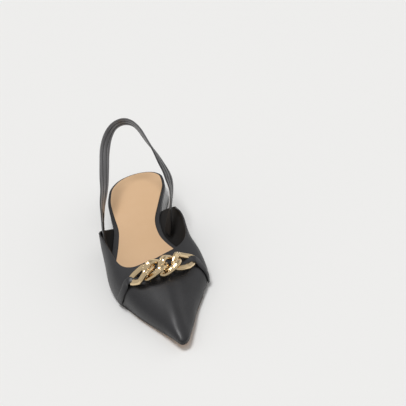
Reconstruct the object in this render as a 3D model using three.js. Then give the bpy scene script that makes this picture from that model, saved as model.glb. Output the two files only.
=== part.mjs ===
// Pointed toe slingback for the right foot, standing empty on its sole.
// Millimetres. +Z up, the toe towards -Y, +X towards the inner (medial) side of the foot.
// The origin is on the ground, under the middle of the heel seat.
import * as THREE from 'three';
import { mergeVertices } from 'three/addons/utils/BufferGeometryUtils.js';

// Driving dimensions
const SHOE = {
  length: 260, // heel back to toe tip of the last
  ballWidth: 75.5,
  heelSeat: 28, // heel back to the middle of the heel seat
  heelLift: 10, // wedge height that the heel adds under the foot bed
  toeSpring: 4.6,
  archRise: 2.6,
  instep: 31, // height of the throat above the ground
};
const CLEARANCE = 0.3; // between pieces that meet
const OUTSOLE = { thickness: 2.5, heelFlare: 1.2, foreFlare: 0.7 };
const FOOTBED = { thickness: 2.0, toeEase: 4 }; // toeEase: how far its edge draws in under the toe
const SOCK = { thickness: 0.9, waistMargin: 3.8 };
const UPPER = { wall: 1.5, stations: 64, rows: 12 };
// The strap's bump climbs over an end bar of the chain: flat within bumpTop of it, gone at bumpReach.
const VAMP_STRAP = { width: 6.2, thickness: 1.5, stations: 54, bumpTop: 3.4, bumpReach: 9, bumpEase: 0.25 };
const CHAIN = {
  wireWidth: 3.6,
  wireHeight: 2.6,
  bevel: 0.8,
  endWidth: 17.8,
  hookWidth: 16.6,
  middleWidth: 16.4,
  rise: 6.8, // chain's middle line above the vamp
  endRise: 2.1, // end bar's middle above the vamp
  twist: 3.3, // how far a curb link's corners stand out of its plane
  play: 0.9, // free room where two links hook
  slant: 0.55, // sideways lean of a curb link, as a share of its half width
  fullness: 0.84, // below 1 a link's corners are fuller than an oval's
  stations: 32,
};
const SLING = { width: 10, thickness: 1.9, height: 70, seat: 0.9, stations: 58 }; // height: loop's top above the ground

// Plan outline of the last: a row for each section, from the heel back to the toe tip.
// Shares: along of the length; lateral, medial of the ball width from the heel's centre line.
const OUTLINE = [
  { along: 0, lateral: 0.077, medial: 0.077 },
  { along: 0.025, lateral: -0.174, medial: 0.273 },
  { along: 0.06, lateral: -0.276, medial: 0.334 },
  { along: 0.12, lateral: -0.35, medial: 0.346 },
  { along: 0.2, lateral: -0.358, medial: 0.298 },
  { along: 0.28, lateral: -0.341, medial: 0.242 },
  { along: 0.36, lateral: -0.325, medial: 0.2 },
  { along: 0.43, lateral: -0.346, medial: 0.226 },
  { along: 0.5, lateral: -0.384, medial: 0.346 },
  { along: 0.56, lateral: -0.423, medial: 0.472 },
  { along: 0.62, lateral: -0.43, medial: 0.548 },
  { along: 0.68, lateral: -0.396, medial: 0.574 },
  { along: 0.75, lateral: -0.31, medial: 0.534 },
  { along: 0.82, lateral: -0.19, medial: 0.452 },
  { along: 0.9, lateral: -0.018, medial: 0.368 },
  { along: 0.96, lateral: 0.116, medial: 0.308 },
  { along: 0.985, lateral: 0.178, medial: 0.282 },
  { along: 1, lateral: 0.232, medial: 0.232 },
];

// Side profile. Shares: arch of archRise, spring of toeSpring, lift of heelLift, margin of the sock's waist margin,
// flare of the outsole's step from its heel flare (1) to its fore part flare (0).
const PROFILE = [
  { along: 0, arch: 0, spring: 0, lift: 1, margin: 0.6, flare: 1 },
  { along: 0.12, arch: 0, spring: 0, lift: 0.99, margin: 0.62, flare: 1 },
  { along: 0.25, arch: 0, spring: 0, lift: 0.86, margin: 0.8, flare: 1 },
  { along: 0.33, arch: 0.6, spring: 0, lift: 0.6, margin: 0.98, flare: 0.8 },
  { along: 0.41, arch: 1, spring: 0, lift: 0.3, margin: 1, flare: 0.3 },
  { along: 0.48, arch: 0.7, spring: 0, lift: 0.13, margin: 1, flare: 0 },
  { along: 0.56, arch: 0.12, spring: 0, lift: 0, margin: 1, flare: 0 },
  { along: 0.6, arch: 0, spring: 0, lift: 0, margin: 0.9, flare: 0 },
  { along: 0.72, arch: 0, spring: 0, lift: 0, margin: 0.4, flare: 0 },
  { along: 0.8, arch: 0, spring: 0.14, lift: 0, margin: 0.3, flare: 0 },
  { along: 0.9, arch: 0, spring: 0.52, lift: 0, margin: 0.4, flare: 0 },
  { along: 1, arch: 0, spring: 1, lift: 0, margin: 0.7, flare: 0 },
];
const HEEL_BLOCK_END = 0.48; // share of the length where the wedge runs out

// Upper: a row for each rib of the last, from the outer quarter's rear edge round the toe to the inner one's.
// along: share of the length at the feather line. topX, topY, topZ: the topline, as shares of ball width, length and
// instep. out, rise, drift: the rib's start handle outwards (ball width), upwards (instep) and towards the topline.
// pullX, pullY, pullZ: the rib's end handle below the topline, as shares of the same three sizes.
const RIBS = [
  { side: -1, along: 0.336, topX: -0.457, topY: 0.469, topZ: 1, out: 0.02, rise: 0.2, drift: 0.3, pullX: -0.03, pullY: 0.05, pullZ: 0.26 },
  { side: -1, along: 0.42, topX: -0.442, topY: 0.49, topZ: 0.97, out: 0.1, rise: 0.2, drift: 0.2, pullX: -0.035, pullY: 0.02, pullZ: 0.28 },
  { side: -1, along: 0.5, topX: -0.42, topY: 0.517, topZ: 0.935, out: 0.075, rise: 0.24, drift: 0.05, pullX: -0.055, pullY: 0.0, pullZ: 0.26 },
  { side: -1, along: 0.57, topX: -0.381, topY: 0.566, topZ: 0.89, out: 0.03, rise: 0.3, drift: 0, pullX: -0.07, pullY: -0.005, pullZ: 0.22 },
  { side: -1, along: 0.64, topX: -0.338, topY: 0.617, topZ: 0.85, out: 0.015, rise: 0.32, drift: 0, pullX: -0.085, pullY: -0.015, pullZ: 0.17 },
  { side: -1, along: 0.71, topX: -0.285, topY: 0.658, topZ: 0.845, out: 0.01, rise: 0.32, drift: 0, pullX: -0.09, pullY: -0.035, pullZ: 0.13 },
  { side: -1, along: 0.79, topX: -0.21, topY: 0.685, topZ: 0.875, out: 0.01, rise: 0.3, drift: 0, pullX: -0.07, pullY: -0.07, pullZ: 0.12 },
  { side: -1, along: 0.88, topX: -0.12, topY: 0.697, topZ: 0.925, out: 0.01, rise: 0.24, drift: 0, pullX: -0.03, pullY: -0.1, pullZ: 0.15 },
  { side: 1, along: 1, topX: 0.055, topY: 0.69, topZ: 1, out: 0.008, rise: 0.17, drift: 0, pullX: 0.03, pullY: -0.115, pullZ: 0.27 },
  { side: 1, along: 0.88, topX: 0.2, topY: 0.665, topZ: 0.985, out: 0.01, rise: 0.24, drift: 0, pullX: 0.05, pullY: -0.085, pullZ: 0.18 },
  { side: 1, along: 0.79, topX: 0.29, topY: 0.639, topZ: 0.935, out: 0.01, rise: 0.32, drift: 0, pullX: 0.075, pullY: -0.055, pullZ: 0.14 },
  { side: 1, along: 0.71, topX: 0.364, topY: 0.613, topZ: 0.895, out: 0.01, rise: 0.34, drift: 0, pullX: 0.085, pullY: -0.025, pullZ: 0.14 },
  { side: 1, along: 0.64, topX: 0.42, topY: 0.583, topZ: 0.88, out: 0.015, rise: 0.34, drift: 0, pullX: 0.08, pullY: -0.01, pullZ: 0.18 },
  { side: 1, along: 0.57, topX: 0.463, topY: 0.551, topZ: 0.89, out: 0.04, rise: 0.32, drift: 0, pullX: 0.06, pullY: -0.005, pullZ: 0.22 },
  { side: 1, along: 0.5, topX: 0.484, topY: 0.515, topZ: 0.922, out: 0.1, rise: 0.25, drift: 0.05, pullX: 0.035, pullY: 0, pullZ: 0.25 },
  { side: 1, along: 0.42, topX: 0.482, topY: 0.476, topZ: 0.968, out: 0.14, rise: 0.2, drift: 0.1, pullX: 0.03, pullY: 0.01, pullZ: 0.26 },
  { side: 1, along: 0.35, topX: 0.458, topY: 0.434, topZ: 1, out: 0.12, rise: 0.2, drift: 0.2, pullX: 0.05, pullY: 0.02, pullZ: 0.26 },
  { side: 1, along: 0.28, topX: 0.413, topY: 0.392, topZ: 1.016, out: 0.03, rise: 0.2, drift: 0.3, pullX: 0.06, pullY: 0.045, pullZ: 0.26 },
];

// Tools: smooth tables, lofts and solids
const turn = (along) => Math.acos(1 - 2 * Math.min(1, Math.max(0, along))) / Math.PI;

// A curve through (keys, values) that never overshoots its points.
function smoothColumn(keys, values) {
  const count = keys.length;
  const slope = [];
  for (let i = 0; i < count - 1; i += 1) {
    slope.push((values[i + 1] - values[i]) / (keys[i + 1] - keys[i]));
  }
  const tangent = keys.map((_, i) => {
    if (i === 0) return slope[0];
    if (i === count - 1) return slope[count - 2];
    if (slope[i - 1] * slope[i] <= 0) return 0;
    const before = keys[i] - keys[i - 1];
    const after = keys[i + 1] - keys[i];
    const a = 2 * after + before;
    const b = after + 2 * before;
    return (a + b) / (a / slope[i - 1] + b / slope[i]);
  });
  return (key) => {
    const at = Math.min(keys[count - 1], Math.max(keys[0], key));
    let i = 0;
    while (i < count - 2 && at > keys[i + 1]) i += 1;
    const span = keys[i + 1] - keys[i];
    const t = (at - keys[i]) / span;
    const t2 = t * t;
    const t3 = t2 * t;
    return (
      values[i] * (2 * t3 - 3 * t2 + 1) +
      tangent[i] * span * (t3 - 2 * t2 + t) +
      values[i + 1] * (3 * t2 - 2 * t3) +
      tangent[i + 1] * span * (t3 - t2)
    );
  };
}

// Every column of a table as a smooth function of one key.
function smoothTable(rows, keyOf) {
  const keys = rows.map(keyOf);
  const columns = {};
  for (const name of Object.keys(rows[0])) {
    columns[name] = smoothColumn(keys, rows.map((row) => row[name]));
  }
  return columns;
}

// A closed solid from sections. Each section has two lists of points, outer and inner, as long as each other.
function loft(sections, closed = false) {
  const rings = sections.map(({ outer, inner }) => [...outer, ...inner.slice().reverse()]);
  const size = rings[0].length;
  const half = size / 2;
  const points = rings.flat();
  const index = [];
  const quad = (a, b, c, d) => index.push(a, b, c, a, c, d);
  const last = closed ? rings.length : rings.length - 1;
  for (let i = 0; i < last; i += 1) {
    const here = i * size;
    const next = ((i + 1) % rings.length) * size;
    for (let j = 0; j < size; j += 1) {
      const k = (j + 1) % size;
      quad(here + j, here + k, next + k, next + j);
    }
  }
  if (!closed) {
    const end = (rings.length - 1) * size;
    for (let j = 0; j < half - 1; j += 1) {
      quad(j, size - 1 - j, size - 2 - j, j + 1);
      quad(end + j, end + j + 1, end + size - 2 - j, end + size - 1 - j);
    }
  }
  return solid(points, index);
}

// Merges shared vertices, drops the triangles that have no area and turns the faces outwards.
function solid(points, index) {
  const raw = new THREE.BufferGeometry().setFromPoints(points);
  raw.setIndex(index);
  const merged = mergeVertices(raw, 1e-3);
  const at = merged.getAttribute('position');
  const kept = [];
  let volume = 0;
  const [p, q, r] = [new THREE.Vector3(), new THREE.Vector3(), new THREE.Vector3()];
  const source = merged.index.array;
  for (let i = 0; i < source.length; i += 3) {
    const [a, b, c] = [source[i], source[i + 1], source[i + 2]];
    if (a === b || b === c || a === c) continue;
    kept.push([a, b, c]);
    p.fromBufferAttribute(at, a);
    q.fromBufferAttribute(at, b);
    r.fromBufferAttribute(at, c);
    volume += p.dot(q.cross(r));
  }
  merged.setIndex(kept.flatMap(([a, b, c]) => (volume < 0 ? [a, c, b] : [a, b, c])));
  merged.computeVertexNormals();
  return merged;
}

const material = (color, roughness, metalness = 0) =>
  new THREE.MeshStandardMaterial({ color, roughness, metalness });
const BLACK_LEATHER = material('#37373a', 0.55);
const TAN_LINING = material('#d3b48f', 0.6);
const TAN_SOLE = material('#cba072', 0.7);
const GOLD = material('#d9c08c', 0.22, 1);

function named(name, geometry, finish) {
  const mesh = new THREE.Mesh(geometry, finish);
  mesh.name = name;
  return mesh;
}

// The last: outline and levels
const outline = smoothTable(OUTLINE, (row) => turn(row.along));
const profile = smoothTable(PROFILE, (row) => row.along);
const shareAt = (y) => Math.min(1, Math.max(0, (SHOE.heelSeat - y) / SHOE.length));
const yAt = (along) => SHOE.heelSeat - along * SHOE.length;

const groundZ = (along) => SHOE.archRise * profile.arch(along) + SHOE.toeSpring * profile.spring(along);
const outsoleTopZ = (along) => groundZ(along) + OUTSOLE.thickness;
const bedBottomZ = (along) => outsoleTopZ(along) + CLEARANCE + SHOE.heelLift * profile.lift(along);
const bedTopZ = (along) => bedBottomZ(along) + FOOTBED.thickness;
const sockTopZ = (along) => bedTopZ(along) + CLEARANCE + SOCK.thickness;

// A point of the last's outline, moved outwards by offset. side is -1 on the outer and 1 on the inner side.
function rim(side, round, offset) {
  const column = side < 0 ? outline.lateral : outline.medial;
  const at = (t) => {
    const held = Math.min(1, Math.max(0, t));
    const along = (1 - Math.cos(Math.PI * held)) / 2;
    return new THREE.Vector2(column(held) * SHOE.ballWidth, yAt(along));
  };
  const step = 1e-3;
  const here = at(round);
  if (round <= 0) return new THREE.Vector2(here.x, here.y + offset);
  if (round >= 1) return new THREE.Vector2(here.x, here.y - offset);
  const run = at(round + step).sub(at(round - step)).normalize();
  return here.add(new THREE.Vector2(-run.y, run.x).multiplyScalar(side * offset));
}

// A plate that follows the side profile, from round = 0 at the heel to end at the toe.
function plate({ from = 0, end = 1, stations, across = 4, topOffset, bottomOffset, topZ, bottomZ }) {
  const sections = [];
  for (let i = 0; i <= stations; i += 1) {
    const round = from + ((end - from) * i) / stations;
    const along = (1 - Math.cos(Math.PI * round)) / 2;
    const level = (offset, z) => {
      const a = rim(-1, round, offset(along));
      const b = rim(1, round, offset(along));
      const row = [];
      for (let j = 0; j <= across; j += 1) {
        const p = a.clone().lerp(b, j / across);
        row.push(new THREE.Vector3(p.x, p.y, z(shareAt(p.y))));
      }
      return row;
    };
    sections.push({ outer: level(topOffset, topZ), inner: level(bottomOffset, bottomZ) });
  }
  return loft(sections);
}

// Sole pieces
const SOLE_STATIONS = 44;
const soleEdge = (along) =>
  THREE.MathUtils.lerp(OUTSOLE.foreFlare, OUTSOLE.heelFlare, profile.flare(along));

function makeOutsole() {
  const edge = soleEdge;
  return plate({
    stations: SOLE_STATIONS, topOffset: edge, bottomOffset: edge, topZ: outsoleTopZ, bottomZ: groundZ,
  });
}

// Wedge between the outsole and the foot bed. Its wall leans out towards the ground, and under the quarters it is as
// wide as they are.
function makeHeelBlock() {
  const underQuarter = (along) => THREE.MathUtils.smoothstep(along, 0.24, 0.34);
  return plate({
    end: turn(HEEL_BLOCK_END),
    stations: 28,
    topOffset: (along) => THREE.MathUtils.lerp(-CLEARANCE, soleEdge(along), underQuarter(along)),
    bottomOffset: soleEdge,
    topZ: (along) => bedBottomZ(along) - CLEARANCE,
    bottomZ: (along) => outsoleTopZ(along) + CLEARANCE,
  });
}

const TIP_WIDTH = 1.6; // of a drawn-in plate's blunt toe end

// The furthest place towards the toe where the outline, moved inwards, still has two sides.
function insetEnd(offset) {
  const width = (round) => {
    const along = (1 - Math.cos(Math.PI * round)) / 2;
    return rim(1, round, offset(along)).x - rim(-1, round, offset(along)).x;
  };
  let round = 1;
  while (width(round) < TIP_WIDTH) round -= 1e-3;
  return round;
}

const bedInset = (along) => CLEARANCE + FOOTBED.toeEase * THREE.MathUtils.smoothstep(along, 0.55, 0.9);

function makeFootbed() {
  const inside = (along) => -bedInset(along);
  return plate({
    end: insetEnd(inside),
    stations: SOLE_STATIONS,
    topOffset: inside,
    bottomOffset: inside,
    topZ: bedTopZ,
    bottomZ: bedBottomZ,
  });
}

function makeSock() {
  const inside = (along) => -bedInset(along) - SOCK.waistMargin * profile.margin(along);
  return plate({
    end: insetEnd(inside),
    stations: SOLE_STATIONS,
    topOffset: inside,
    bottomOffset: inside,
    topZ: sockTopZ,
    bottomZ: (along) => bedTopZ(along) + CLEARANCE,
  });
}

// The upper's own function. around runs from its first rib to its last, 0 at the toe tip; up runs from the feather
// line, 0, to the topline, 1.
const aroundOf = ({ side, along }) => side * (1 - turn(along));
const ribs = smoothTable(RIBS, aroundOf);
const AROUND = { first: aroundOf(RIBS[0]), last: aroundOf(RIBS[RIBS.length - 1]) };

function ribAt(around) {
  const side = around < 0 ? -1 : 1;
  const round = 1 - Math.abs(around);
  const along = (1 - Math.cos(Math.PI * round)) / 2;
  const foot = rim(side, round, UPPER.wall);
  const outwards = rim(side, round, UPPER.wall + 1).sub(foot);
  const start = new THREE.Vector3(foot.x, foot.y, bedBottomZ(along));
  const top = new THREE.Vector3(
    ribs.topX(around) * SHOE.ballWidth,
    yAt(ribs.topY(around)),
    ribs.topZ(around) * SHOE.instep,
  );
  const out = ribs.out(around) * SHOE.ballWidth;
  const first = start.clone();
  first.x += outwards.x * out;
  first.y += outwards.y * out + ribs.drift(around) * (top.y - start.y);
  first.z += ribs.rise(around) * SHOE.instep;
  const second = top.clone();
  second.x += ribs.pullX(around) * SHOE.ballWidth;
  second.y += ribs.pullY(around) * SHOE.length;
  second.z -= ribs.pullZ(around) * SHOE.instep;
  return new THREE.CubicBezierCurve3(start, first, second, top);
}

const upperPoint = (around, up) => ribAt(around).getPoint(up);

const LEVEL_FOOT = 0.15; // share of a rib over which the wall's foot turns level

// The upper's outward unit normal.
function upperNormal(around, up) {
  const step = 2e-3;
  const a = Math.min(AROUND.last - step, Math.max(AROUND.first + step, around));
  const u = Math.min(1 - step, Math.max(step, up));
  const along = upperPoint(a + step, u).sub(upperPoint(a - step, u));
  const upwards = upperPoint(a, u + step).sub(upperPoint(a, u - step));
  const normal = along.cross(upwards).normalize();
  // At the feather line the wall stands upright on its edge, so that its thickness lies level there.
  normal.z *= THREE.MathUtils.smoothstep(up, 0, LEVEL_FOOT);
  return normal.normalize();
}

const upperOffset = (around, up, height) =>
  upperPoint(around, up).addScaledVector(upperNormal(around, up), height);

function makeUpper() {
  const sections = [];
  for (let i = 0; i <= UPPER.stations; i += 1) {
    const around = THREE.MathUtils.lerp(AROUND.first, AROUND.last, i / UPPER.stations);
    const outer = [];
    const inner = [];
    for (let j = 0; j <= UPPER.rows; j += 1) {
      const up = j / UPPER.rows;
      outer.push(upperPoint(around, up));
      inner.push(upperOffset(around, up, -UPPER.wall));
    }
    sections.push({ outer, inner });
  }
  return loft(sections);
}

// Route of the vamp strap over the upper, as places in the upper's own function
const STRAP_ROUTE = [
  { around: -0.348, up: 0.02 },
  { around: -0.33, up: 0.3 },
  { around: -0.308, up: 0.55 },
  { around: -0.277, up: 0.733 },
  { around: -0.19, up: 0.805 },
  { around: -0.083, up: 0.833 },
  { around: 0.02, up: 0.832 },
  { around: 0.11, up: 0.817 },
  { around: 0.235, up: 0.767 },
  { around: 0.3, up: 0.69 },
  { around: 0.344, up: 0.583 },
  { around: 0.362, up: 0.4 },
  { around: 0.368, up: 0.22 },
  { around: 0.37, up: 0.02 },
];
// Where the chain's links join, by row of the route. At its two ends the strap runs over the link's end bar.
const CHAIN_JOINTS = [
  { row: 3, onVamp: true },
  { row: 5, onVamp: false },
  { row: 6.9, onVamp: false },
  { row: 8.1, onVamp: false },
  { row: 10, onVamp: true },
];

const route = smoothTable(STRAP_ROUTE.map((row, at) => ({ ...row, at })), (row) => row.at);
const routePlace = (at) => ({ around: route.around(at), up: route.up(at) });

// Frame on the upper at a place of the route: point, run along the strap, side across it and outward normal.
function routeFrame(at) {
  const step = 0.02;
  const last = STRAP_ROUTE.length - 1;
  const pointAt = (t) => {
    const { around, up } = routePlace(Math.min(last, Math.max(0, t)));
    return upperPoint(around, up);
  };
  const { around, up } = routePlace(at);
  const normal = upperNormal(around, up);
  const run = pointAt(at + step).sub(pointAt(at - step)).normalize();
  const across = normal.clone().cross(run).normalize();
  return { around, up, point: pointAt(at), run, across, normal };
}

// The place on the upper that lies a short way from a frame's point, in the direction across.
function placeBeside({ around, up, across }, way) {
  const step = 1e-3;
  const base = upperPoint(around, up);
  const byAround = upperPoint(around + step, up).sub(base).divideScalar(step);
  const byUp = upperPoint(around, up + step).sub(base).divideScalar(step);
  const target = across.clone().multiplyScalar(way);
  const aa = byAround.dot(byAround);
  const bb = byUp.dot(byUp);
  const ab = byAround.dot(byUp);
  const ta = byAround.dot(target);
  const tb = byUp.dot(target);
  const det = aa * bb - ab * ab;
  return {
    around: around + (ta * bb - tb * ab) / det,
    up: Math.max(0, up + (tb * aa - ta * ab) / det),
  };
}

const chainJoints = CHAIN_JOINTS.map(({ row, onVamp }) => {
  const frame = routeFrame(row);
  const height = onVamp ? CHAIN.endRise : CHAIN.rise;
  return { ...frame, at: row, place: frame.point.clone().addScaledVector(frame.normal, height) };
});

// How far the strap's underside stands off the upper: it climbs over each end bar of the chain.
function strapLift(frame) {
  const bars = [chainJoints[0], chainJoints[chainJoints.length - 1]];
  let lift = CLEARANCE;
  for (const bar of bars) {
    const way = frame.point.distanceTo(bar.point);
    const bump = 1 - THREE.MathUtils.smoothstep(way, VAMP_STRAP.bumpTop, VAMP_STRAP.bumpReach);
    lift += (CHAIN.endRise + CHAIN.wireHeight / 2 + VAMP_STRAP.bumpEase) * bump;
  }
  return lift;
}

// Crown of a soft strap's section: place across it and height there, as shares of width and thickness.
const STRAP_CROWN = [
  { across: -0.5, height: 0.4 },
  { across: -0.36, height: 0.9 },
  { across: 0, height: 1 },
  { across: 0.36, height: 0.9 },
  { across: 0.5, height: 0.4 },
];

function makeVampStrap() {
  const sections = [];
  const last = STRAP_ROUTE.length - 1;
  for (let i = 0; i <= VAMP_STRAP.stations; i += 1) {
    const frame = routeFrame((last * i) / VAMP_STRAP.stations);
    const lift = strapLift(frame);
    const outer = [];
    const inner = [];
    for (const { across, height } of STRAP_CROWN) {
      const { around, up } = placeBeside(frame, across * VAMP_STRAP.width);
      outer.push(upperOffset(around, up, lift + height * VAMP_STRAP.thickness));
      inner.push(upperOffset(around, up, lift));
    }
    sections.push({ outer, inner });
  }
  return loft(sections);
}

// One link between two joints. twist at each end is 1 where it hooks into the next link, as a curb link does, and 0 at
// the bar that the strap holds, where the link is wider.
function makeLink(from, to, { twistFrom, twistTo, widthFrom, widthTo }) {
  const axis = to.place.clone().sub(from.place);
  const x = axis.clone().normalize();
  const lift = from.normal.clone().add(to.normal);
  const y = lift.clone().cross(x).normalize();
  const z = x.clone().cross(y);
  const overhang = ((CHAIN.wireWidth + CHAIN.play) / 2) * Math.hypot(1, CHAIN.slant);
  const start = from.place.clone().addScaledVector(x, -overhang * twistFrom);
  const end = to.place.clone().addScaledVector(x, overhang * twistTo);
  const centre = start.clone().lerp(end, 0.5);
  const halfLength = start.distanceTo(end) / 2;
  const bend = (value) => Math.sign(value) * Math.abs(value) ** CHAIN.fullness;
  const line = (angle) => {
    const c = Math.cos(angle);
    const s = Math.sin(angle);
    const twist = THREE.MathUtils.lerp(twistFrom, twistTo, (1 + c) / 2);
    const width = THREE.MathUtils.lerp(widthFrom, widthTo, (1 + c) / 2);
    const side = ((width - CHAIN.wireWidth) / 2) * bend(s);
    return centre
      .clone()
      .addScaledVector(x, halfLength * bend(c) + CHAIN.slant * side * twist)
      .addScaledVector(y, side)
      .addScaledVector(z, -CHAIN.twist * Math.sin(2 * angle) * twist);
  };
  const step = 1e-3;
  const sections = [];
  for (let i = 0; i < CHAIN.stations; i += 1) {
    const angle = (2 * Math.PI * (i + 0.5)) / CHAIN.stations;
    const point = line(angle);
    const run = line(angle + step).sub(line(angle - step)).normalize();
    const outwards = run.clone().cross(z).normalize();
    const above = outwards.clone().cross(run).normalize();
    const w = CHAIN.wireWidth / 2;
    const h = CHAIN.wireHeight / 2;
    const b = CHAIN.bevel;
    const corner = (u, v) => point.clone().addScaledVector(outwards, u).addScaledVector(above, v);
    sections.push({
      outer: [corner(-w, h - b), corner(-w + b, h), corner(w - b, h), corner(w, h - b)],
      inner: [corner(-w, b - h), corner(-w + b, -h), corner(w - b, -h), corner(w, b - h)],
    });
  }
  return loft(sections, true);
}

// Slingback loop: a row for each place of its middle line. x of the ball width, along of the length, z of its height;
// leanX, leanY, leanZ point from its lower to its upper edge.
const SLING_FEET = [
  { around: -0.505, up: 0.28 },
  { around: -0.532, up: 0.6 },
  { around: 0.54, up: 0.12 },
];
const SLING_LOOP = [
  { x: -0.405, along: 0.408, z: 0.436, leanX: 0, leanY: -0.5, leanZ: 0.85 },
  { x: -0.392, along: 0.338, z: 0.486, leanX: -0.25, leanY: -0.35, leanZ: 0.9 },
  { x: -0.375, along: 0.269, z: 0.536, leanX: -0.5, leanY: -0.3, leanZ: 0.8 },
  { x: -0.355, along: 0.204, z: 0.6, leanX: -0.7, leanY: -0.2, leanZ: 0.7 },
  { x: -0.331, along: 0.142, z: 0.683, leanX: -0.75, leanY: -0.2, leanZ: 0.65 },
  { x: -0.3, along: 0.081, z: 0.786, leanX: -0.75, leanY: -0.2, leanZ: 0.6 },
  { x: -0.232, along: 0.031, z: 0.9, leanX: -0.6, leanY: -0.35, leanZ: 0.75 },
  { x: -0.139, along: 0.004, z: 0.976, leanX: -0.3, leanY: -0.45, leanZ: 0.85 },
  { x: -0.033, along: -0.004, z: 1, leanX: -0.1, leanY: -0.47, leanZ: 0.88 },
  { x: 0.066, along: 0.008, z: 0.986, leanX: -0.2, leanY: -0.48, leanZ: 0.85 },
  { x: 0.146, along: 0.042, z: 0.929, leanX: -0.2, leanY: -0.55, leanZ: 0.8 },
  { x: 0.212, along: 0.096, z: 0.807, leanX: -0.25, leanY: -0.57, leanZ: 0.78 },
  { x: 0.275, along: 0.158, z: 0.7, leanX: -0.45, leanY: -0.55, leanZ: 0.7 },
  { x: 0.331, along: 0.227, z: 0.636, leanX: -0.68, leanY: -0.3, leanZ: 0.68 },
  { x: 0.375, along: 0.296, z: 0.614, leanX: -0.6, leanY: -0.3, leanZ: 0.75 },
  { x: 0.388, along: 0.354, z: 0.564, leanX: -0.15, leanY: -0.45, leanZ: 0.88 },
  { x: 0.364, along: 0.396, z: 0.493, leanX: 0.11, leanY: -0.42, leanZ: 0.9 },
  { x: 0.328, along: 0.419, z: 0.386, leanX: 0.3, leanY: -0.75, leanZ: 0.5 },
  { x: 0.295, along: 0.435, z: 0.271, leanX: 0.45, leanY: -0.85, leanZ: 0.25 },
];

function makeSling() {
  const foot = ({ around, up }) =>
    upperOffset(around, up, -UPPER.wall - SLING.seat - SLING.thickness / 2);
  const free = SLING_LOOP.map(
    (row) => new THREE.Vector3(row.x * SHOE.ballWidth, yAt(row.along), row.z * SLING.height),
  );
  const leans = SLING_LOOP.map((row) => new THREE.Vector3(row.leanX, row.leanY, row.leanZ));
  const wallUp = ({ around, up }) => {
    const upwards = upperPoint(around, up + 0.01).sub(upperPoint(around, up));
    return upwards.normalize();
  };
  const points = [foot(SLING_FEET[0]), foot(SLING_FEET[1]), ...free, foot(SLING_FEET[2])];
  const across = points.map((point, i) => {
    if (i < 2) return wallUp(SLING_FEET[i]);
    return leans[Math.min(i - 2, leans.length - 1)];
  });
  const middle = new THREE.CatmullRomCurve3(points, false, 'centripetal');
  const lean = new THREE.CatmullRomCurve3(across, false, 'centripetal');
  const sections = [];
  for (let i = 0; i <= SLING.stations; i += 1) {
    const t = middle.getUtoTmapping(i / SLING.stations);
    const point = middle.getPoint(t);
    const run = middle.getTangent(t);
    const wide = lean.getPoint(t);
    wide.addScaledVector(run, -wide.dot(run)).normalize();
    const face = run.clone().cross(wide);
    const side = (sign) =>
      [-0.5, -0.4, 0.4, 0.5].map((place, k) =>
        point
          .clone()
          .addScaledVector(wide, place * SLING.width)
          .addScaledVector(face, (sign * SLING.thickness * (k === 0 || k === 3 ? 0.25 : 0.5))),
      );
    sections.push({ outer: side(1), inner: side(-1) });
  }
  return loft(sections);
}

const shoe = new THREE.Group();
shoe.add(named('outsole', makeOutsole(), TAN_SOLE));
shoe.add(named('heel_block', makeHeelBlock(), BLACK_LEATHER));
shoe.add(named('footbed', makeFootbed(), BLACK_LEATHER));
shoe.add(named('sock', makeSock(), TAN_LINING));
shoe.add(named('upper', makeUpper(), BLACK_LEATHER));
shoe.add(named('vamp_strap', makeVampStrap(), BLACK_LEATHER));
const LINKS = [
  { name: 'chain_link_outer', twistFrom: 0, twistTo: 1, widthFrom: CHAIN.endWidth, widthTo: CHAIN.hookWidth },
  { name: 'chain_link_middle_a', twistFrom: 1, twistTo: 1, widthFrom: CHAIN.middleWidth, widthTo: CHAIN.middleWidth },
  { name: 'chain_link_middle_b', twistFrom: 1, twistTo: 1, widthFrom: CHAIN.middleWidth, widthTo: CHAIN.middleWidth },
  { name: 'chain_link_inner', twistFrom: 1, twistTo: 0, widthFrom: CHAIN.hookWidth, widthTo: CHAIN.endWidth },
];
LINKS.forEach((link, i) => {
  shoe.add(named(link.name, makeLink(chainJoints[i], chainJoints[i + 1], link), GOLD));
});
shoe.add(named('slingback_strap', makeSling(), BLACK_LEATHER));

export default shoe;
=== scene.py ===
"""Looks of a pointed toe slingback for the right foot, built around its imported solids.

Metres, +Z up, toe towards -Y, +X towards the inner side of the foot. The classes from Upper to Chain are the
shoe's sub-assemblies, as a maker puts them together. Each one welds copies of its solids, shapes and rounds
them, and dresses them.
"""

import logging
import math
from dataclasses import dataclass, field
from enum import Enum, IntEnum

import bmesh
import bpy
from bmesh.types import BMEdge, BMesh, BMFace, BMVert
from bpy.types import Material, Mesh, Node, NodeSocket, NodeTree, Object, World
from mathutils import Matrix, Vector
from mathutils.bvhtree import BVHTree
from mathutils.kdtree import KDTree

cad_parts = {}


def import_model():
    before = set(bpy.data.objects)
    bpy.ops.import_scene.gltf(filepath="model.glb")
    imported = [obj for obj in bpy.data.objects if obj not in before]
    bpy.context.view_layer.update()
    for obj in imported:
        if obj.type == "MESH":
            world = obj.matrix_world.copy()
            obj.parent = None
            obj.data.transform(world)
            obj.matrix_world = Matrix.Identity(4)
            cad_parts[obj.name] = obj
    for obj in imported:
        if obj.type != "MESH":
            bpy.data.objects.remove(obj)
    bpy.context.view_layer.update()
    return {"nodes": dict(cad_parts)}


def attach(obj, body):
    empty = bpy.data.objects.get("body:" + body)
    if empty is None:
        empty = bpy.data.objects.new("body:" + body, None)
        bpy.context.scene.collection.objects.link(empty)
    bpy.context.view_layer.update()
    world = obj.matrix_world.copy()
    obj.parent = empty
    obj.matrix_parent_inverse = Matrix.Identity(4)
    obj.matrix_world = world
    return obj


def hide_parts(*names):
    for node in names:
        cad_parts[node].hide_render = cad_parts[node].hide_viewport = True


MM = 0.001
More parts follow.
